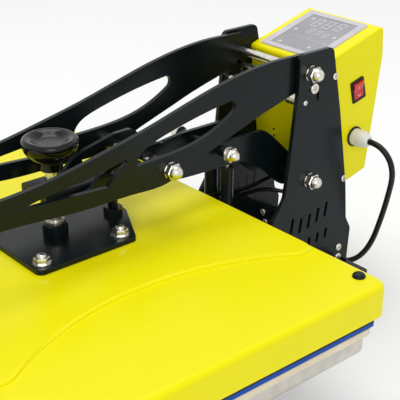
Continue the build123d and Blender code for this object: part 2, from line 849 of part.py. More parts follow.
fasteners([rod(arm_outside + 9, front_pin, pin_radius)], "arm_pins")
sleeve_gap = 1
pin_sleeve = collar(arm_x - carrier_outside - sleeve_gap, 10, pin_radius)
fasteners(
    both_sides(pin_sleeve, carrier_outside + sleeve_gap, front_pin)
    + both_sides(collar(washer_thick, 10.4, pin_radius), arm_outside, front_pin),
    "pin_sleeves",
)
fasteners(both_sides(cap_nut(19, 8, pin_radius), arm_outside + washer_thick, front_pin), "arm_cap_nuts")

# Handle bar across the arms' front ends, with two closed grips

bar_radius = 11
bar_half = 146
with BuildPart() as handle_bar:
    with BuildSketch(side(-bar_half)):
        with Locations(handle_bar_at):
            Circle(bar_radius)
            Circle(bar_radius - 2, mode=Mode.SUBTRACT)
    extrude(amount=2 * bar_half)
save(handle_bar, "handle_bar")
with BuildPart() as handle_grip:
    with BuildSketch(Plane.YZ):
        Circle(15.5)
    extrude(amount=bar_half + 5 - arm_outside - 4)
    fillet(handle_grip.faces().sort_by(Axis.X)[-1].edges(), 4)
    fillet(handle_grip.faces().sort_by(Axis.X)[0].edges(), 2)
    with BuildSketch(Plane.YZ):
        Circle(bar_radius)
    extrude(amount=bar_half - arm_outside - 4, mode=Mode.SUBTRACT)
fasteners(both_sides(handle_grip.part, arm_outside + 4, handle_bar_at), "handle_grips")

# Control box: a wedge-shaped shell with its base, and the sealed parts inside

box_wall = 2
box_profile = [
    (388, 140, 4),
    (*panel_low, 6),
    (*panel_high, 6),
    (484.79, 318, 30),
    (464, 159, 4),
]
with BuildPart() as box_cavity:
    with BuildSketch(side(-box_half + box_wall)):
        with BuildLine():
            rounded(box_profile)
        make_face()
        offset(amount=-box_wall, mode=Mode.REPLACE)
    extrude(amount=2 * (box_half - box_wall))
switch_frame = Plane(
    origin=(box_half, screw_y + switch_at[0], switch_at[1]),
    x_dir=(0, cos(radians(switch_turn)), sin(radians(switch_turn))),
    z_dir=(1, 0, 0),
)
with BuildPart() as control_housing:
    with BuildSketch(side(-box_half)):
        with BuildLine():
            rounded(box_profile)
        make_face()
    extrude(amount=2 * box_half)
    fillet(control_housing.faces().sort_by(Axis.X)[-1].edges(), 2.5)
    fillet(control_housing.faces().sort_by(Axis.X)[0].edges(), 2.5)
    add(box_cavity.part, mode=Mode.SUBTRACT)
    with BuildSketch(switch_frame.offset(-4)):
        Rectangle(22, 28)
    extrude(amount=6, mode=Mode.SUBTRACT)
    with BuildSketch(facing_front(380)):
        with Locations((0, heater_in)):
            Circle(cable_radius + 0.4)
    extrude(amount=-14, mode=Mode.SUBTRACT)
    with BuildSketch(flat(138)):
        with Locations((0, sensor_in)):
            Circle(cable_radius + 0.4)
    extrude(amount=14, mode=Mode.SUBTRACT)
save(control_housing, "control_housing")

# Tilted control panel: its frame and its window

panel_slope = atan2(panel_high[1] - panel_low[1], panel_high[0] - panel_low[0])
panel_plane = Plane(
    origin=(0, screw_y + (panel_low[0] + panel_high[0]) / 2, (panel_low[1] + panel_high[1]) / 2),
    x_dir=(1, 0, 0),
    z_dir=(0, -sin(panel_slope), cos(panel_slope)),
)
frame_at = (-3, -1)
frame_size = (104, 102)
window_at = (-2.4, -1.5)
window_size = (82, 85)
with BuildPart() as panel_frame:
    with BuildSketch(panel_plane):
        with Locations(frame_at):
            RectangleRounded(*frame_size, 4)
        with Locations(window_at):
            RectangleRounded(*window_size, 2, mode=Mode.SUBTRACT)
    extrude(amount=1.8)
    chamfer(panel_frame.faces().sort_by(Axis(panel_plane.origin, panel_plane.z_dir))[-1].outer_wire().edges(), 0.5)
save(panel_frame, "panel_frame")
with BuildPart() as display_window:
    with BuildSketch(panel_plane):
        with Locations(window_at):
            RectangleRounded(*window_size, 2)
    extrude(amount=1.2)
save(display_window, "display_window")

# Rocker switch: its bezel and its rocker, which tips about a line across the bezel

rocker_radius = 12
with BuildPart() as switch_bezel:
    with BuildSketch(switch_frame):
        RectangleRounded(25, 31, 2)
    extrude(amount=2.4)
    fillet(switch_bezel.faces().sort_by(Axis.X)[-1].edges(), 1)
    with BuildSketch(switch_frame.offset(-16)):
        Rectangle(21.6, 27.6)
    extrude(amount=16)
    with BuildSketch(switch_frame.offset(-13)):
        Rectangle(18.6, 24.8)
    extrude(amount=20, mode=Mode.SUBTRACT)
save(switch_bezel, "switch_bezel")
rocker_plane = Plane(origin=switch_frame.origin, x_dir=switch_frame.y_dir, z_dir=switch_frame.x_dir)
with BuildPart() as rocker_button:
    with BuildSketch(rocker_plane.offset(-9)):
        Circle(rocker_radius)
        with BuildLine():
            Polyline((-14, 1.6), (0, 2.2), (14, 6.4), (14, -8), (-14, -8), close=True)
        make_face(mode=Mode.INTERSECT)
    extrude(amount=18)
save(rocker_button, "rocker_button")

# Control board under the panel, with its relay, on four spacers

with BuildPart() as control_board:
    with BuildSketch(panel_plane.offset(-14)):
        Rectangle(100, 70)
    extrude(amount=1.6)
    with BuildSketch(panel_plane.offset(-14)):
        with Locations((-20, 10)):
            Rectangle(30, 28)
        with Locations((26, -14)):
            Rectangle(20, 16)
    extrude(amount=-22)
    with BuildSketch(panel_plane.offset(-13)):
        with GridLocations(90, 60, 2, 2):
            Circle(3)
    extrude(amount=13 - box_wall)
save(control_board, "control_board")

# Gland of the mains cord: a round nylon nut with a domed end

gland_plane = Plane(origin=(box_half, screw_y + gland_at[0], gland_at[1]), x_dir=(1, 0, 0), z_dir=(0, -1, 0))
with BuildPart() as cord_gland:
    with BuildSketch(gland_plane):
        with BuildLine():
            Line((0, 0), (0, 11.8))
            Line((0, 11.8), (12, 11.8))
            Spline((12, 11.8), (21, 10), (gland_length, cord_radius + 1.5), tangents=[(1, 0), (0.4, -1)])
            Line((gland_length, cord_radius + 1.5), (gland_length, 0))
            Line((gland_length, 0), (0, 0))
        make_face()
    revolve(axis=Axis(gland_plane.origin, (1, 0, 0)))
save(cord_gland, "cord_gland")


# A route's path: straight runs joined by arcs as large as the runs allow

def point(x, y, z):
    return Vector(x, screw_y + y, z)


def corner_radii(route):
    radii = []
    for before, here, after in zip(route, route[1:], route[2:]):
        turn = radians((here - before).get_angle(after - here))
        shorter = min((here - before).length, (after - here).length)
        radii.append(0.45 * shorter / tan(turn / 2))
    return radii


def laid_cord(route, radius, title):
    radii = corner_radii(route)
    with BuildPart() as piece:
        with BuildLine() as path:
            FilletPolyline(*route, radius=radii)
        with BuildSketch(Plane(origin=route[0], z_dir=route[1] - route[0])):
            Circle(radius)
        sweep(path=path.line)
    length = path.wire().length
    print(title, "length", round(length, 1), "radii", [round(r) for r in radii])
    print(title, "volume over section times length", round(piece.part.volume / (pi * radius**2 * length), 4))
    return piece.part, length


# Heater cable and sensor cable from the cover's rear wall, between the struts, to the control box

heater_stops = [(218.2, 162), (236, 162), (258, 158), (281, 154), (306, 153), (331, 154.5)]
heater_stops += [(361, heater_in), (391, heater_in)]
sensor_stops = [(218.2, 150), (236, 150), (258, 147.5), (281, 145.5), (304, 145), (326, 143.5), (350, 137)]
sensor_stops += [(373, 126.5), (396, 120), (409, 124.7), (sensor_in, 136.1), (sensor_in, 151)]
cables = []
for stops in (heater_stops, sensor_stops):
    cables.append(laid_cord([point(0, y, z) for y, z in stops], cable_radius, "cable")[0])
fasteners(cables, "heater_cables")

# Mains cord, first stretch: out of the gland, down behind the press and along the bench to the coil

ground = cord_radius + 0.05
coil_middle = coil_across / 2
coil_outer = coil_middle + coil_pitch * coil_turns / 2
coil_inner = coil_middle - coil_pitch * coil_turns / 2
coil_start = point(coil_centre[0] + 2 * cord_radius, coil_centre[1] - coil_outer, ground)
cord_route = [
    point(box_half + gland_length, *gland_at),
    point(106.5, 436, 213.5),
    point(118, 437, 208.5),
    point(126, 440, 198.5),
    point(129, 444, 185.5),
    point(127.5, 449, 167.5),
    point(120, 454, 144),
    point(111.5, 458, 116),
    point(101.5, 461, 86),
    point(92, 462.5, 58),
    point(80, 462, 34),
    point(65, 459.5, 16),
    point(46, 456, 6.5),
    point(22, 451.5, ground),
    point(-6, 448, ground),
    point(-36, 446.6, ground),
    point(-58, coil_centre[1] - coil_outer, ground),
    coil_start,
]
free_cord, free_length = laid_cord(cord_route, cord_radius, "power_cord")
fasteners([free_cord], "power_cord")


# Coil: a spiral inwards on the bench, a climb of one layer in half a turn, and a spiral outwards above

def coil_point(turned):
    inward = 2 * pi * coil_turns
    rate = coil_pitch / (2 * pi)
    if turned <= inward:
        distance = coil_outer - rate * turned
        height = ground
    elif turned <= inward + pi:
        climb = (turned - inward) / pi
        distance = coil_inner - rate * pi * climb * (1 - climb)
        height = ground + layer_gap * climb**2 * (3 - 2 * climb)
    else:
        distance = coil_inner + rate * (turned - inward - pi)
        height = ground + layer_gap
    angle = -pi / 2 - turned
    return point(coil_centre[0] + distance * cos(angle), coil_centre[1] + distance * sin(angle), height)


def coil_direction(turned):
    step = 1e-4
    return (coil_point(turned + step) - coil_point(turned - step)).normalized()


def biarc(start, leaving, end, arriving):
    across = end - start
    both = leaving + arriving
    spread = 2 * (1 - leaving.dot(arriving))
    reach = (sqrt(across.dot(both) ** 2 + spread * across.dot(across)) - across.dot(both)) / spread
    middle = (start + end + (leaving - arriving) * reach) / 2
    halfway = (end - arriving * reach) - (start + leaving * reach)
    TangentArc(start, middle, tangent=leaving)
    TangentArc(middle, end, tangent=halfway)


quarter = pi / 2
quarters = round((2 * coil_turns + 0.5) * 4)
tail_length = 40
with BuildPart() as cord_coil:
    with BuildLine() as coil_path:
        here = coil_point(0)
        way = Vector(-1, 0, 0)
        Line(coil_start, here)
        for index in range(quarters):
            there = coil_point((index + 1) * quarter)
            next_way = coil_direction((index + 1) * quarter)
            if index == quarters - 1:
                next_way = Vector(next_way.X, next_way.Y, 0).normalized()
            biarc(here, way, there, next_way)
            here = there
            way = next_way
        tail_end = here + way * tail_length
        Line(here, tail_end)
    with BuildSketch(Plane(origin=coil_start, z_dir=(-1, 0, 0))):
        Circle(cord_radius)
    sweep(path=coil_path.line)
save(cord_coil, "cord_coil")
coil_length = coil_path.wire().length
samples = [coil_path.wire().position_at(index / 1200) for index in range(1201)]
least = min(
    (a - b).length
    for index, a in enumerate(samples)
    for b in samples[index + 60:]
)
print("coil length", round(coil_length, 1), "least gap to itself", round(least - 2 * cord_radius, 2))
print("coil volume over section times length",
      round(cord_coil.part.volume / (pi * cord_radius**2 * coil_length), 4))

# Plug at the coil's end: a moulded body with a tapered neck, two flat blades and a round earth pin

plug_plane = Plane(origin=tail_end, x_dir=way.cross(Vector(0, 0, 1)), z_dir=way)
plug_height = ground + layer_gap - 0.05
with BuildPart() as cord_plug:
    with BuildSketch(plug_plane):
        Circle(cord_radius + 1)
    with BuildSketch(plug_plane.offset(16)):
        Circle(8)
    loft()
    with BuildSketch(plug_plane.offset(16)):
        RectangleRounded(28, 2 * plug_height, 7)
    extrude(amount=26)
    fillet(cord_plug.edges().group_by(Axis(plug_plane.origin, way))[-1], 1.5)
    with BuildSketch(plug_plane.offset(42)):
        with Locations((6.35, 0), (-6.35, 0)):
            Rectangle(1.6, 6.4)
    extrude(amount=17)
    with BuildSketch(plug_plane.offset(42)):
        with Locations((0, -8)):
            Circle(2.4)
    extrude(amount=19)
save(cord_plug, "cord_plug")
print("whole cord", round(free_length + coil_length), "mm")
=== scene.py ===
# %% [markdown]
# # A slide-out heat press
# The press is a machine of laser-cut and folded steel: a yellow cover over its heated plate, long black handle
# arms, a knob that sets the pressure and a control box at the rear. Its rigid parts are already modelled in CAD.
# In this lesson Blender gives them their finishes, and makes what CAD is poor at: the cord, the two cables, the
# silicone pad and the small marks.

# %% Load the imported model
import math

import bmesh
import bpy
from mathutils import Matrix, Vector


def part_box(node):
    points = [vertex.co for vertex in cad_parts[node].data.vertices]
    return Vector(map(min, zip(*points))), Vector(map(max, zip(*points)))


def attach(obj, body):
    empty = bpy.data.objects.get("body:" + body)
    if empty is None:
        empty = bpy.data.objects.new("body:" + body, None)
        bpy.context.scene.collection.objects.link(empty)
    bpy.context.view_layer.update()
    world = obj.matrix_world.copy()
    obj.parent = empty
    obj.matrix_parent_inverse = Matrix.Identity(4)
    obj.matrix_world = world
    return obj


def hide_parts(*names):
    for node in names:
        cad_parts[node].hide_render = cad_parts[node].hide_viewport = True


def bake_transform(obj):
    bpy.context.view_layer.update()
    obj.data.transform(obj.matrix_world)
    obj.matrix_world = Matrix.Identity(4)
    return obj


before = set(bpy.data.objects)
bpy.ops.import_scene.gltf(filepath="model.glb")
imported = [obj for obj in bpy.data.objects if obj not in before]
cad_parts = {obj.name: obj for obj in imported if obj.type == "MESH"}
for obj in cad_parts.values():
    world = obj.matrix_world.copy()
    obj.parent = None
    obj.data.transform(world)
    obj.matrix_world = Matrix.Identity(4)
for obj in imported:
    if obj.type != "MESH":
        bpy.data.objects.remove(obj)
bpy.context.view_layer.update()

# %% [markdown]
# ## One unit and one starting point
# The CAD counts millimetres, and its places along Y from the pressure screw. A small function turns such a place
# into metres, so that the same given points can be used in both.

# %% Places counted from the pressure screw
screw_low, screw_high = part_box("pressure_screw")
screw_y = (screw_low.y + screw_high.y) / 2


def place(x, y, z):
    return Vector((x / 1000, y / 1000 + screw_y, z / 1000))


print("the screw stands at y =", round(screw_y, 4))

# %% [markdown]
# ## The camera first
# The photograph is taken from the operator's right, a little above the press. The camera is placed first, because
# the length of cord that it doesn't see has to lie close to the press. A lens of 92.6 mm on a 36 mm sensor takes
# in 22 degrees.

# %% Camera at the photograph's angle
camera_turn = math.radians(49.5)
camera_tilt = math.radians(25)
bpy.ops.object.camera_add(location=place(917.2, -563.6, 722.4), rotation=(math.pi / 2 - camera_tilt, 0, camera_turn))
camera = bpy.context.object
camera.name = "camera"
camera.data.sensor_width = 36
camera.data.lens = 92.565
bpy.context.scene.camera = camera
print("camera at", [round(value, 3) for value in camera.location])

# %% [markdown]
# ## The mains cord
# A round cord of 8 mm leaves the white gland, falls behind the press and runs along the bench to a put-away coil.
# A cord bends in one smooth line, so it is a NURBS spline through listed points. Its order is set to 3 after the
# points are there: set earlier, it would stay at straight runs. The coil is two layers of turns, first inwards on
# the bench and then outwards on top, and its points come from one formula.

# %% The route of the cord and its coil
cord_diameter = 0.008
ground = 4.05
gland_y = 436
gland_z = 213.5
coil_x = -85
coil_y = 500
coil_radius = 44
turns_in_a_layer = 2.25
coil_pitch = 8.8
layer_gap = 8.7
coil_outer = coil_radius + coil_pitch * turns_in_a_layer / 2
coil_inner = coil_radius - coil_pitch * turns_in_a_layer / 2
cord_route = [
    place(94, gland_y, gland_z),
    place(106.5, gland_y, gland_z),
    place(118, 437, 208.5),
    place(126, 440, 198.5),
    place(129, 444, 185.5),
    place(127.5, 449, 167.5),
    place(120, 454, 144),
    place(111.5, 458, 116),
    place(101.5, 461, 86),
    place(92, 462.5, 58),
    place(80, 462, 34),
    place(65, 459.5, 16),
    place(46, 456, 6.5),
    place(22, 451.5, ground),
    place(-6, 448, ground),
    place(-36, 446.6, ground),
    place(-58, coil_y - coil_outer, ground),
    place(-77, coil_y - coil_outer, ground),
]


def coil_point(turned):
    inward = 2 * math.pi * turns_in_a_layer
    rate = coil_pitch / (2 * math.pi)
    climb = min(max((turned - inward) / math.pi, 0), 1)
    if turned <= inward:
        distance = coil_outer - rate * turned
    elif turned <= inward + math.pi:
        distance = coil_inner - rate * math.pi * climb * (1 - climb)
    else:
        distance = coil_inner + rate * (turned - inward - math.pi)
    height = ground + layer_gap * climb**2 * (3 - 2 * climb)
    angle = -math.pi / 2 - turned
    return place(coil_x + distance * math.cos(angle), coil_y + distance * math.sin(angle), height)


points_per_turn = 20
step_angle = 2 * math.pi / points_per_turn
steps = round((2 * turns_in_a_layer + 0.5) * points_per_turn)
for step in range(1, steps + 1):
    cord_route.append(coil_point(step * step_angle))
coil_end = cord_route[-1]
way = (coil_point(steps * step_angle + 0.001) - coil_end).normalized()
cord_route.append(coil_end + way * 0.018)
cord_route.append(coil_end + way * 0.04)
print("the cord's route has", len(cord_route), "points")

# %% [markdown]
# ## From a route to a round cord
# One function makes a smooth tube along a route. The mains cord uses it once, and the two cables behind the cover
# use it again. The curve's own thickness is set to one metre and each point's radius then scales it down to the
# real one, because Blender measures a curve's box with its points' radii.

# %% A tube along a route
def tube(name, route, diameter):
    line = bpy.data.curves.new(name, "CURVE")
    line.dimensions = "3D"
    line.bevel_depth = 1
    line.bevel_resolution = 4
    line.resolution_u = 6
    line.use_fill_caps = True
    spline = line.splines.new("NURBS")
    spline.points.add(len(route) - 1)
    for point, stop in zip(spline.points, route):
        point.co = (*stop, 1)
        point.radius = diameter / 2
    spline.order_u = 3
    spline.use_endpoint_u = True
    piece = bpy.data.objects.new(name, line)
    bpy.context.scene.collection.objects.link(piece)
    return piece


mains_cord = tube("mains_cord", cord_route, cord_diameter)
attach(mains_cord, "frame")
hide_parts("power_cord", "cord_coil")
print("made", mains_cord.name)

# %% [markdown]
# ## Heater cable and sensor cable
# Two black silicone cables run from the cover's rear wall to the control box, between the struts. The cover lifts
# and the box doesn't. Here the two cables are joined into one smooth-shaded mesh, which is not tied to the head or
# the frame.

# %% The two platen cables
cable_diameter = 0.006
heater_stops = [(218.2, 162), (236, 162), (258, 158), (281, 154), (306, 153), (331, 154.5)]
heater_stops += [(361, 157.5), (391, 157.5)]
sensor_stops = [(218.2, 150), (236, 150), (258, 147.5), (281, 145.5), (304, 145), (326, 143.5)]
sensor_stops += [(350, 137), (373, 126.5), (396, 120), (409, 124.7), (417, 136.1), (417, 151)]
bpy.ops.object.select_all(action="DESELECT")
heater_cable = tube("platen_cables", [place(0, y, z) for y, z in heater_stops], cable_diameter)
sensor_cable = tube("sensor_cable", [place(0, y, z) for y, z in sensor_stops], cable_diameter)
for cable in (sensor_cable, heater_cable):
    cable.select_set(True)
    bpy.context.view_layer.objects.active = cable
bpy.ops.object.convert(target="MESH")
bpy.ops.object.join()
platen_cables = bpy.context.object
platen_cables.name = "platen_cables"
bpy.ops.object.shade_smooth_by_angle(angle=math.radians(40))
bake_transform(platen_cables)
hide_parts("heater_cables")
print("platen cables:", len(platen_cables.data.vertices), "points")

# %% [markdown]
# ## The silicone pad
# The pad is a sheet of cream silicone sponge, cut with rounded corners, that lies on the lower platen. A cube is
# stretched to the sheet's size, its four upright edges are bevelled to round corners, then its top and bottom
# rims. The top face is inset and dented a little: the sponge has taken a set under the heat platen.

# %% Helpers for edit mode
def fresh_cube(name, low, high):
    bpy.ops.object.select_all(action="DESELECT")
    bpy.ops.mesh.primitive_cube_add(size=1, location=(low + high) / 2, scale=high - low)
    bpy.ops.object.transform_apply(location=True, rotation=True, scale=True)
    piece = bpy.context.object
    piece.name = name
    return piece


def select_where(piece, kind, test):
    bpy.ops.object.mode_set(mode="EDIT")
    bpy.ops.mesh.select_mode(type=kind)
    bpy.ops.mesh.select_all(action="DESELECT")
    net = bmesh.from_edit_mesh(piece.data)
    found = [part for part in (net.faces if kind == "FACE" else net.edges) if test(part)]
    for part in found:
        part.select_set(True)
    bmesh.update_edit_mesh(piece.data)
    return len(found)


# %% Silicone pad with rounded corners
pad_low, pad_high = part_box("silicone_pad")
silicone_pad = fresh_cube("silicone_sponge_pad", pad_low, pad_high)
select_where(silicone_pad, "EDGE", lambda edge: abs((edge.verts[0].co - edge.verts[1].co).z) > 0.005)
bpy.ops.mesh.bevel(offset=0.012, segments=8, affect="EDGES")
pad_top = pad_high.z - 0.0001
select_where(silicone_pad, "EDGE", lambda edge: all(vertex.co.z > pad_top for vertex in edge.verts))
bpy.ops.mesh.bevel(offset=0.0022, segments=5, affect="EDGES")
pad_bottom = pad_low.z + 0.0001
select_where(silicone_pad, "EDGE", lambda edge: all(vertex.co.z < pad_bottom for vertex in edge.verts))
bpy.ops.mesh.bevel(offset=0.0012, segments=3, affect="EDGES")
select_where(silicone_pad, "FACE", lambda face: face.normal.z > 0.99 and face.calc_area() > 0.1)
bpy.ops.mesh.inset(thickness=0.006)
bpy.ops.mesh.inset(thickness=0.002)
bpy.ops.transform.translate(value=(0, 0, -0.0003))
bpy.ops.object.mode_set(mode="OBJECT")
bpy.ops.object.shade_smooth_by_angle(angle=math.radians(50))
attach(silicone_pad, "drawer")
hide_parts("silicone_pad")
print("silicone pad:", len(silicone_pad.data.polygons), "faces")

# %% [markdown]
# ## Figures of the display
# Under the grey window sit number blocks of seven bars each, unlit in the photograph and only a little paler than
# the window. One bar is modelled as a flat six-sided rod, copied to make an 8, and the 8 is copied again. A thin
# line lies below the figures, and five round touch marks stand around them.

# %% A flat frame of reference on the tilted panel
panel_low_y, panel_low_z, panel_high_y, panel_high_z = 366, 326, 482, 358
panel_slope = math.atan2(panel_high_z - panel_low_z, panel_high_y - panel_low_y)
panel_middle = place(0, (panel_low_y + panel_high_y) / 2, (panel_low_z + panel_high_z) / 2)
panel_turn = Matrix.Translation(panel_middle) @ Matrix.Rotation(panel_slope, 4, "X")
window_face = 0.0012
mark_thickness = 0.0002
mark_height = window_face + 0.00005


def bar(length, width, middle, upright):
    bpy.ops.object.select_all(action="DESELECT")
    bpy.ops.mesh.primitive_cylinder_add(vertices=6, radius=width / 2, depth=mark_thickness)
    piece = bpy.context.object
    select_where(piece, "FACE", lambda face: face.calc_center_median().x > 0.0001)
    bpy.ops.transform.translate(value=((length - width) / 2, 0, 0))
    select_where(piece, "FACE", lambda face: face.calc_center_median().x < -0.0001)
    bpy.ops.transform.translate(value=(-(length - width) / 2, 0, 0))
    bpy.ops.object.mode_set(mode="OBJECT")
    if upright:
        piece.data.transform(Matrix.Rotation(math.pi / 2, 4, "Z"))
    piece.data.transform(Matrix.Translation((*middle, mark_height)))
    return piece


def joined(parts, name):
    bpy.ops.object.select_all(action="DESELECT")
    for part in parts:
        part.select_set(True)
    bpy.context.view_layer.objects.active = parts[0]
    bpy.ops.object.join()
    piece = bpy.context.object
    piece.name = name
    return piece


# %% One figure of seven bars, copied to two rows of three
def figure(width, height, stroke, middle):
    half = (height - stroke) / 2
    bars = [bar(width, stroke, (0, row * half), False) for row in (-1, 0, 1)]
    for column in (-1, 1):
        for row in (-0.5, 0.5):
            bars.append(bar(half, stroke, (column * (width - stroke) / 2, row * half), True))
    eight = joined(bars, "eight")
    lean = Matrix.Identity(4)
    lean[0][1] = 0.12
    eight.data.transform(Matrix.Translation((*middle, 0)) @ lean)
    return eight


marks = [figure(0.012, 0.02, 0.0019, middle) for middle in ((-0.0185, 0.0245), (0, 0.0255), (0.0185, 0.027))]
marks += [figure(0.008, 0.012, 0.0013, middle) for middle in ((-0.012, 0.0025), (0.0015, 0.0025), (0.0155, 0.001))]
marks.append(bar(0.07, 0.0009, (0, -0.0167), False))
for middle in ((-0.034, 0.031), (-0.036, -0.0015), (-0.032, -0.037), (0.031, 0.002), (0.018, -0.033)):
    bpy.ops.mesh.primitive_cylinder_add(vertices=24, radius=0.0026, depth=mark_thickness)
    dot = bpy.context.object
    select_where(dot, "FACE", lambda face: face.normal.z > 0.9)
    bpy.ops.mesh.inset(thickness=0.0007)
    bpy.ops.transform.translate(value=(0, 0, 0.00005))
    bpy.ops.object.mode_set(mode="OBJECT")
    dot.data.transform(Matrix.Translation((*middle, mark_height)))
    dot.location = (0, 0, 0)
    marks.append(dot)
display_figures = joined(marks, "display_figures")
display_figures.data.transform(panel_turn)
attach(display_figures, "frame")
print("display figures:", len(display_figures.data.polygons), "faces")

# %% [markdown]
# ## On and off marks of the switch
# The rocker carries a printed I on its upper half and an O on its lower half. The O is a flattened ring and the I
# a flat bar. Both are laid on the two slopes of the rocker and tip with it.

# %% Switch marks
switch_middle = place(67, 437, 279)
switch_turn = math.radians(14)
rocker_up = Vector((0, -math.sin(switch_turn), math.cos(switch_turn)))


def on_rocker(along, proud, slope):
    out = Vector((1, 0, 0))
    facing = Matrix.Rotation(slope, 3, Vector((0, math.cos(switch_turn), math.sin(switch_turn)))) @ out
    up = Matrix.Rotation(slope, 3, Vector((0, math.cos(switch_turn), math.sin(switch_turn)))) @ rocker_up
    across = up.cross(facing)
    turn = Matrix((across, up, facing)).transposed().to_4x4()
    return Matrix.Translation(switch_middle + rocker_up * along + out * proud) @ turn


bpy.ops.object.select_all(action="DESELECT")
bpy.ops.mesh.primitive_torus_add(major_radius=0.0024, minor_radius=0.0004, major_segments=32, minor_segments=8)
off_ring = bpy.context.object
bpy.ops.object.mode_set(mode="EDIT")
bpy.ops.mesh.select_all(action="SELECT")
bpy.ops.transform.resize(value=(0.85, 1.15, 0.25))
bpy.ops.object.mode_set(mode="OBJECT")
off_ring.data.transform(on_rocker(-0.0062, 0.00198, math.radians(-2.5)))
on_bar = bar(0.0052, 0.0009, (0, 0), True)
on_bar.data.transform(on_rocker(0.005, 0.0037, math.radians(-16.7)) @ Matrix.Translation((0, 0, -0.00125)))
switch_marks = joined([off_ring, on_bar], "switch_marks")
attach(switch_marks, "rocker")
print("switch marks made")

# %% [markdown]
# ## Small hardware and painted hole shade
# A black rubber ring seals the gland against the box. It starts as a ring and is widened a little in edit mode.
# Four small black domes on the box's front face are painted shade: they stand for small holes, dark with the shade
# inside them. Each is a sphere, flattened to a dome.

# %% Gland seal and painted shade of the front holes
bpy.ops.object.select_all(action="DESELECT")
bpy.ops.mesh.primitive_torus_add(
    major_radius=0.0128, minor_radius=0.0011, major_segments=48, minor_segments=10, rotation=(0, math.pi / 2, 0),
)
gland_seal = bpy.context.object
gland_seal.name = "gland_seal"
bpy.ops.object.mode_set(mode="EDIT")
bpy.ops.mesh.select_all(action="SELECT")
bpy.ops.transform.resize(value=(1, 1, 1.6), orient_type="LOCAL")
bpy.ops.object.mode_set(mode="OBJECT")
bpy.ops.object.transform_apply(location=True, rotation=True, scale=True)
gland_seal.data.transform(Matrix.Translation(place(68.2, gland_y, gland_z)))
bpy.ops.object.shade_smooth()
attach(gland_seal, "frame")

# painted shade: black domes in place of the shaded holes in the front face
face_lean = math.atan2(22, 186)
hole_shade_domes = []
for x in (-30, 30):
    for y, z in ((379.72, 210), (380.9, 200)):
        bpy.ops.mesh.primitive_uv_sphere_add(segments=20, ring_count=10, radius=0.0018)
        hole_shade_dome = bpy.context.object
        bpy.ops.object.mode_set(mode="EDIT")
        bpy.ops.mesh.select_all(action="SELECT")
        bpy.ops.transform.resize(value=(1, 0.4, 1))
        bpy.ops.object.mode_set(mode="OBJECT")
        hole_shade_dome.data.transform(Matrix.Translation(place(x, y, z)) @ Matrix.Rotation(-face_lean, 4, "X"))
        hole_shade_domes.append(hole_shade_dome)
front_hole_shade_domes = joined(hole_shade_domes, "front_hole_shade_domes")
bpy.ops.object.shade_smooth()
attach(front_hole_shade_domes, "frame")
print("made", gland_seal.name, "and", front_hole_shade_domes.name)

# %% [markdown]
# ## Colours and nodes
# A colour is read from the photograph or from a paint card as a hex value, which is meant for a screen. Shaders
# work in linear light, so one function turns it. Another small function adds any node, sets its values and links
# its inputs. A socket is named by its identifier, which tells apart the sockets that share a name.

# %% Colour and node helpers
def linear(hex_colour):
    channels = [int(hex_colour[start:start + 2], 16) / 255 for start in (0, 2, 4)]
    return (*[c / 12.92 if c <= 0.04045 else ((c + 0.055) / 1.055) ** 2.4 for c in channels], 1)


def add(tree, kind, settings, **links):
    node = tree.nodes.new(kind)
    sockets = {socket.identifier: socket for socket in node.inputs}
    for name, value in settings.items():
        if name in sockets:
            sockets[name].default_value = value
        else:
            setattr(node, name, value)
    for name, source in links.items():
        tree.links.new(source, sockets[name])
    return node


def new_material(name, constants):
    material = bpy.data.materials.new(name)
    material.use_nodes = True
    tree = material.node_tree
    shader = tree.nodes["Principled BSDF"]
    for socket, value in constants.items():
        shader.inputs[socket].default_value = value
    spot = add(tree, "ShaderNodeTexCoord", {}).outputs["Object"]
    return material, tree, shader, spot


print("yellow in linear light:", [round(value, 3) for value in linear("F6EC00")])

# %% [markdown]
# ## Two patterns that every finish needs
# No real surface is the same all over. The first pattern is a value that wanders between two limits over a given
# size: it serves for roughness and for height. The second mixes two close colours by such a value. Sizes are in
# metres, so the noise's scale is one over the size.

# %% Wandering value and mottled colour
def wandering(tree, spot, size, low, high):
    noise = add(tree, "ShaderNodeTexNoise", {"Scale": 1 / size, "Detail": 3.0}, Vector=spot)
    limits = {"From Min": 0.3, "From Max": 0.7, "To Min": low, "To Max": high}
    return add(tree, "ShaderNodeMapRange", limits, Value=noise.outputs["Fac"]).outputs["Result"]


def mottled(tree, spot, size, dark, light):
    tones = {"data_type": "RGBA", "A_Color": linear(dark), "B_Color": linear(light)}
    mix = add(tree, "ShaderNodeMix", tones, Factor_Float=wandering(tree, spot, size, 0, 1))
    return mix.outputs[2]


print("two patterns ready")

# %% [markdown]
# ## Powder coat
# Steel sheets are sprayed with dry paint that melts in an oven. The skin is glossy and hard, with a faint orange
# peel of about 2 mm, and it is softly rounded over cut edges. A Bevel node rounds the edges in the shading by 0.5
# to 0.8 mm, which gives the thin light lines along the arms. The same function makes the yellow and the black,
# which differ in colour and in gloss.

# %% Powder coat, yellow and black
def powder_coat(name, dark, light, smooth, rough, edge, sheen):
    material, tree, shader, spot = new_material(name, {"IOR": 1.5, "Specular IOR Level": sheen})
    tree.links.new(mottled(tree, spot, 0.25, dark, light), shader.inputs["Base Color"])
    tree.links.new(wandering(tree, spot, 0.03, smooth, rough), shader.inputs["Roughness"])
    rounding = add(tree, "ShaderNodeBevel", {"samples": 4, "Radius": edge})
    peel = wandering(tree, spot, 0.002, 0, 1)
    relief = {"Strength": 0.12, "Distance": 0.0002}
    skin = add(tree, "ShaderNodeBump", relief, Height=peel, Normal=rounding.outputs["Normal"])
    tree.links.new(skin.outputs["Normal"], shader.inputs["Normal"])
    return material


yellow_coat = powder_coat("lemon_yellow_powder_coat", "F6EC00", "F8EF00", 0.28, 0.3, 0.0008, 0.2)
black_coat = powder_coat("black_powder_coat", "0A1315", "0F191C", 0.2, 0.28, 0.0005, 0.2)
print("made", yellow_coat.name, "and", black_coat.name)

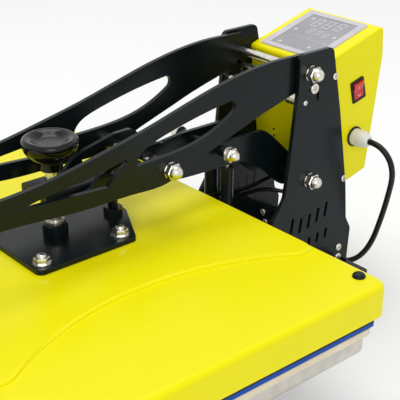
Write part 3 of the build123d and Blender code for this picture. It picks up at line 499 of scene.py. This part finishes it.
# %% [markdown]
# ## Plated metals
# Screws, nuts and shafts are bright zinc: metal with a soft, slightly mottled shine. The struts' rods are hard
# chrome, nearly a mirror, and the heating element has a dull stainless sheath.

# %% Zinc, chrome and stainless steel
def plated(name, dark, light, smooth, rough):
    material, tree, shader, spot = new_material(name, {"Metallic": 1.0})
    tree.links.new(mottled(tree, spot, 0.006, dark, light), shader.inputs["Base Color"])
    tree.links.new(wandering(tree, spot, 0.002, smooth, rough), shader.inputs["Roughness"])
    rounding = add(tree, "ShaderNodeBevel", {"samples": 4, "Radius": 0.0004})
    grain = wandering(tree, spot, 0.0015, 0, 1)
    relief = {"Strength": 0.15, "Distance": 0.0001}
    skin = add(tree, "ShaderNodeBump", relief, Height=grain, Normal=rounding.outputs["Normal"])
    tree.links.new(skin.outputs["Normal"], shader.inputs["Normal"])
    return material


bright_zinc = plated("bright_zinc_plate", "C9C6BC", "E2E0D8", 0.16, 0.28)
hard_chrome = plated("hard_chrome", "D8D9DB", "E6E6E8", 0.05, 0.1)
element_steel = plated("stainless_element_sheath", "6E6963", "8C867E", 0.35, 0.5)
print("made", bright_zinc.name, hard_chrome.name, element_steel.name)

# %% [markdown]
# ## Milled aluminium
# The lower platen is cast aluminium that was milled, so its colour is pale and its shine is drawn out along the
# cutter's path: the same noise, with its coordinates squeezed along X.

# %% Milled cast aluminium
milled_aluminium, tree, shader, spot = new_material("milled_cast_aluminium", {"Metallic": 1.0})
drawn = add(tree, "ShaderNodeMapping", {"Scale": (0.04, 1, 1)}, Vector=spot).outputs["Vector"]
tree.links.new(mottled(tree, spot, 0.02, "C2BEB6", "D6D2CA"), shader.inputs["Base Color"])
tree.links.new(wandering(tree, drawn, 0.003, 0.34, 0.48), shader.inputs["Roughness"])
cutter_lines = wandering(tree, drawn, 0.0008, 0, 1)
skin = add(tree, "ShaderNodeBump", {"Strength": 0.25, "Distance": 0.0001}, Height=cutter_lines)
tree.links.new(skin.outputs["Normal"], shader.inputs["Normal"])
print("made", milled_aluminium.name)

# %% [markdown]
# ## The heat platen's coating and its painted shade below
# The aluminium heat platen is coated blue. Its faces that point down are painted dark as painted shade: they are
# found by their normal, and where it points down, the dark colour takes over.

# %% Blue coating, with painted shade on the faces below
platen_coating, tree, shader, spot = new_material("blue_platen_coating", {"IOR": 1.45, "Specular IOR Level": 0.2})
facing = add(tree, "ShaderNodeNewGeometry", {}).outputs["Normal"]
height = add(tree, "ShaderNodeSeparateXYZ", {}, Vector=facing).outputs["Z"]
painted_shade_below = add(tree, "ShaderNodeMapRange", {"From Min": -0.7, "From Max": -0.9}, Value=height).outputs["Result"]
blue = mottled(tree, spot, 0.03, "0046A4", "0050B2")
# painted shade: the dark colour of the faces that point down
dark = mottled(tree, spot, 0.004, "2A2C2E", "34373A")
both = add(tree, "ShaderNodeMix", {"data_type": "RGBA"}, Factor_Float=painted_shade_below, A_Color=blue, B_Color=dark)
tree.links.new(both.outputs[2], shader.inputs["Base Color"])
tree.links.new(wandering(tree, spot, 0.01, 0.25, 0.38), shader.inputs["Roughness"])
print("made", platen_coating.name)

# %% [markdown]
# ## Rubbers and plastics
# Moulded pieces differ in colour, gloss and grain. A function for moulded pieces takes the grain's size: rubber
# feet are matt with a fine grit, the knob is hard black phenolic with a polish, the gland is white nylon with a
# little light inside, and the cord's PVC is satin.

# %% Moulded rubbers and plastics
def moulded(name, dark, light, smooth, rough, grain, depth, constants):
    material, tree, shader, spot = new_material(name, {"IOR": 1.5, **constants})
    tree.links.new(mottled(tree, spot, 0.02, dark, light), shader.inputs["Base Color"])
    tree.links.new(wandering(tree, spot, 0.008, smooth, rough), shader.inputs["Roughness"])
    grit = wandering(tree, spot, grain, 0, 1)
    skin = add(tree, "ShaderNodeBump", {"Strength": depth, "Distance": 0.0002}, Height=grit)
    tree.links.new(skin.outputs["Normal"], shader.inputs["Normal"])
    return material


faint = {"Specular IOR Level": 0.3}
lit_inside = {"Subsurface Weight": 0.15, "Subsurface Radius": (1, 1, 1), "Subsurface Scale": 0.002}
black_rubber = moulded("black_rubber", "111111", "1B1B1B", 0.5, 0.65, 0.0008, 0.3, faint)
grip_rubber = moulded("fine_grained_grip_rubber", "121212", "191919", 0.45, 0.6, 0.0015, 0.5, faint)
cord_pvc = moulded("satin_cord_pvc", "0E0E0F", "161617", 0.35, 0.5, 0.001, 0.2, faint)
cable_silicone = moulded("glossy_cable_silicone", "0C0C0D", "131314", 0.2, 0.32, 0.002, 0.1, faint)
phenolic = moulded("polished_phenolic", "07080A", "0C0E10", 0.12, 0.2, 0.003, 0.05, faint)
switch_plastic = moulded("black_switch_plastic", "0A0A0B", "101011", 0.3, 0.4, 0.0006, 0.15, faint)
red_plastic = moulded("red_switch_plastic", "C01010", "D41A16", 0.18, 0.28, 0.002, 0.06, lit_inside)
white_nylon = moulded("white_nylon", "E6E6E3", "F2F2F0", 0.3, 0.4, 0.0012, 0.1, lit_inside)
panel_film = moulded("silver_panel_film", "C2BEC4", "CECAD0", 0.35, 0.45, 0.0006, 0.2, {})
figure_film = moulded("pale_figure_film", "C8C8CC", "D2D2D6", 0.3, 0.4, 0.0006, 0.1, {})
board_laminate = moulded("green_board_laminate", "0E4A22", "14602C", 0.3, 0.5, 0.002, 0.2, {})
glass_wool = moulded("matted_glass_wool", "D2CCBC", "E2DDCF", 0.85, 0.95, 0.0012, 0.9, {})
print("made twelve moulded materials")

# %% [markdown]
# ## Silicone sponge
# The pad is closed-cell foam: cream, matt and slightly see-through at its edge, with pores under a millimetre.
# A Voronoi pattern gives the pores, drawn at 0.9 mm so that they just show.

# %% Cream silicone sponge
see_through = {"Subsurface Weight": 0.2, "Subsurface Radius": (1, 0.8, 0.5), "Subsurface Scale": 0.003}
silicone, tree, shader, spot = new_material("cream_silicone_sponge", {"IOR": 1.41, **see_through})
tree.links.new(mottled(tree, spot, 0.03, "E6DABD", "F0E6CD"), shader.inputs["Base Color"])
tree.links.new(wandering(tree, spot, 0.005, 0.5, 0.7), shader.inputs["Roughness"])
pores = add(tree, "ShaderNodeTexVoronoi", {"Scale": 1 / 0.0009}, Vector=spot).outputs["Distance"]
skin = add(tree, "ShaderNodeBump", {"Strength": 0.3, "Distance": 0.0002}, Height=pores)
tree.links.new(skin.outputs["Normal"], shader.inputs["Normal"])
print("made", silicone.name)

# %% [markdown]
# ## The display's window
# A glossy grey window, a little uneven in tone. The gloss comes from a clear coat over a satin film.

# %% Display window
clear = {"IOR": 1.5, "Coat Weight": 0.4, "Coat Roughness": 0.04}
window, tree, shader, spot = new_material("grey_display_window", clear)
tree.links.new(mottled(tree, spot, 0.05, "8F8F94", "9B9BA0"), shader.inputs["Base Color"])
tree.links.new(wandering(tree, spot, 0.002, 0.22, 0.32), shader.inputs["Roughness"])
print("made", window.name)

# %% [markdown]
# ## The plug
# The plug is one solid in CAD, but its body is moulded PVC and its pins are brass. The material tells them apart
# by distance along the plug: past the body's end the colour turns to brass and the surface to metal.

# %% Plug body and brass pins
plug_body, tree, shader, spot = new_material("plug_pvc_and_brass_pins", {"IOR": 1.5})
body_end = cord_route[-1] + way * 0.0425
shifted = add(tree, "ShaderNodeVectorMath", {"operation": "SUBTRACT", "Vector_001": body_end}, Vector=spot)
facing_out = {"operation": "DOT_PRODUCT", "Vector_001": way}
along = add(tree, "ShaderNodeVectorMath", facing_out, Vector=shifted.outputs["Vector"]).outputs["Value"]
pins = add(tree, "ShaderNodeMapRange", {"From Min": -0.0002, "From Max": 0.0002}, Value=along).outputs["Result"]
pvc = mottled(tree, spot, 0.01, "0E0E0F", "161617")
brass = mottled(tree, spot, 0.004, "B8944A", "C9A65C")
both = add(tree, "ShaderNodeMix", {"data_type": "RGBA"}, Factor_Float=pins, A_Color=pvc, B_Color=brass)
tree.links.new(both.outputs[2], shader.inputs["Base Color"])
tree.links.new(pins, shader.inputs["Metallic"])
tree.links.new(wandering(tree, spot, 0.004, 0.32, 0.45), shader.inputs["Roughness"])
print("made", plug_body.name)

# %% [markdown]
# ## Dress every piece
# Each CAD node already sits in its place. It only needs its finish, so a list names the nodes of each one, and
# the new pieces follow.

# %% Finishes of the CAD nodes and of the new pieces
finishes = {
    yellow_coat: "platen_cover control_housing",
    black_coat: "base_frame upright_left upright_right cross_plate strut_bracket slide_channels drawer_handle "
                "carriage_plate carrier_left carrier_right pressure_beam centre_plate arm_left arm_right handle_bar "
                "strut_cylinders guide_post head_hub thrust_cup cover_screws",
    bright_zinc: "shaft_washers shaft_cap_nuts frame_screws top_shaft lower_shaft arm_stops strut_lower_pin "
                 "strut_upper_pin beam_bolts flange_nuts arm_pins pin_sleeves arm_cap_nuts slide_bars "
                 "platen_supports platen_posts pressure_screw",
    hard_chrome: "strut_rods",
    milled_aluminium: "lower_platen",
    platen_coating: "heat_platen",
    element_steel: "heating_element",
    black_rubber: "rubber_feet edge_gasket",
    grip_rubber: "drawer_grip handle_grips",
    glass_wool: "insulation_blanket",
    phenolic: "pressure_knob",
    switch_plastic: "switch_bezel",
    red_plastic: "rocker_button",
    white_nylon: "cord_gland",
    panel_film: "panel_frame",
    window: "display_window",
    board_laminate: "control_board",
    plug_body: "cord_plug",
    cord_pvc: "power_cord cord_coil",
    cable_silicone: "heater_cables",
    silicone: "silicone_pad",
}
dressed = 0
for material, names in finishes.items():
    for name in names.split():
        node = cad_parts[name]
        node.data.materials.clear()
        node.data.materials.append(material)
        dressed += 1
new_pieces = {
    mains_cord: cord_pvc,
    platen_cables: cable_silicone,
    silicone_pad: silicone,
    display_figures: figure_film,
    switch_marks: white_nylon,
    gland_seal: black_rubber,
    # the black domes are painted shade of the front holes
    front_hole_shade_domes: black_coat,
}
for piece, material in new_pieces.items():
    piece.data.materials.clear()
    piece.data.materials.append(material)
print("dressed", dressed, "CAD nodes of", len(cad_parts), "and", len(new_pieces), "new pieces")

# %% [markdown]
# ## Floor and light
# The floor is plain and pale and keeps a soft shadow. Part of its white is light that only the camera and
# reflections see, so the press isn't lit by more than the lamps. The room is one even white, and two large soft
# lamps shape the object: one overhead and one from the front right.

# %% Floor
def seen_directly(tree):
    rays = add(tree, "ShaderNodeLightPath", {}).outputs
    glossy = rays["Is Glossy Ray"]
    clear = rays["Is Transmission Ray"]
    larger = {"operation": "MAXIMUM"}
    mirrored = add(tree, "ShaderNodeMath", larger, Value=rays["Is Camera Ray"], Value_001=glossy)
    return add(tree, "ShaderNodeMath", larger, Value=mirrored.outputs[0], Value_001=clear).outputs[0]


bpy.ops.object.select_all(action="DESELECT")
bpy.ops.mesh.primitive_plane_add(size=14, location=(0, 0, 0))
floor = bpy.context.object
floor.name = "floor"
paper = bpy.data.materials.new("pale_paper")
paper.use_nodes = True
tree = paper.node_tree
tree.nodes.clear()
strength = add(tree, "ShaderNodeMapRange", {"To Min": 0, "To Max": 0.195}, Value=seen_directly(tree))
glow = add(tree, "ShaderNodeEmission", {"Color": linear("FFFFFF")}, Strength=strength.outputs["Result"])
matt = add(tree, "ShaderNodeBsdfDiffuse", {"Color": linear("E6E6E6")})
both = add(tree, "ShaderNodeAddShader", {}, Shader=matt.outputs[0], Shader_001=glow.outputs[0])
add(tree, "ShaderNodeOutputMaterial", {}, Surface=both.outputs[0])
floor.data.materials.append(paper)
print("floor of", floor.dimensions.x, "m")

# %% World and lamps
world = bpy.data.worlds.new("white_room")
bpy.context.scene.world = world
world.use_nodes = True
tree = world.node_tree
tree.nodes.clear()
strength = add(tree, "ShaderNodeMapRange", {"To Min": 0.62, "To Max": 0.98}, Value=seen_directly(tree))
sky = add(tree, "ShaderNodeBackground", {"Color": linear("FFFFFF")}, Strength=strength.outputs["Result"])
add(tree, "ShaderNodeOutputWorld", {}, Surface=sky.outputs[0])


def soft_lamp(name, location, target, size, power):
    aim = (Vector(target) - Vector(location)).to_track_quat("-Z", "Y")
    bpy.ops.object.light_add(type="AREA", location=location, rotation=aim.to_euler())
    lamp = bpy.context.object
    lamp.name = name
    lamp.data.size = size
    lamp.data.energy = power
    return lamp


soft_lamp("overhead_lamp", (-0.6, 0.3, 3.2), (0, 0, 0.1), 2.0, 41)
soft_lamp("front_right_lamp", (2.8, -1.6, 1.6), (0, 0, 0.15), 1.8, 28)
bpy.context.scene.view_settings.view_transform = "Standard"
print("two lamps and a white room")
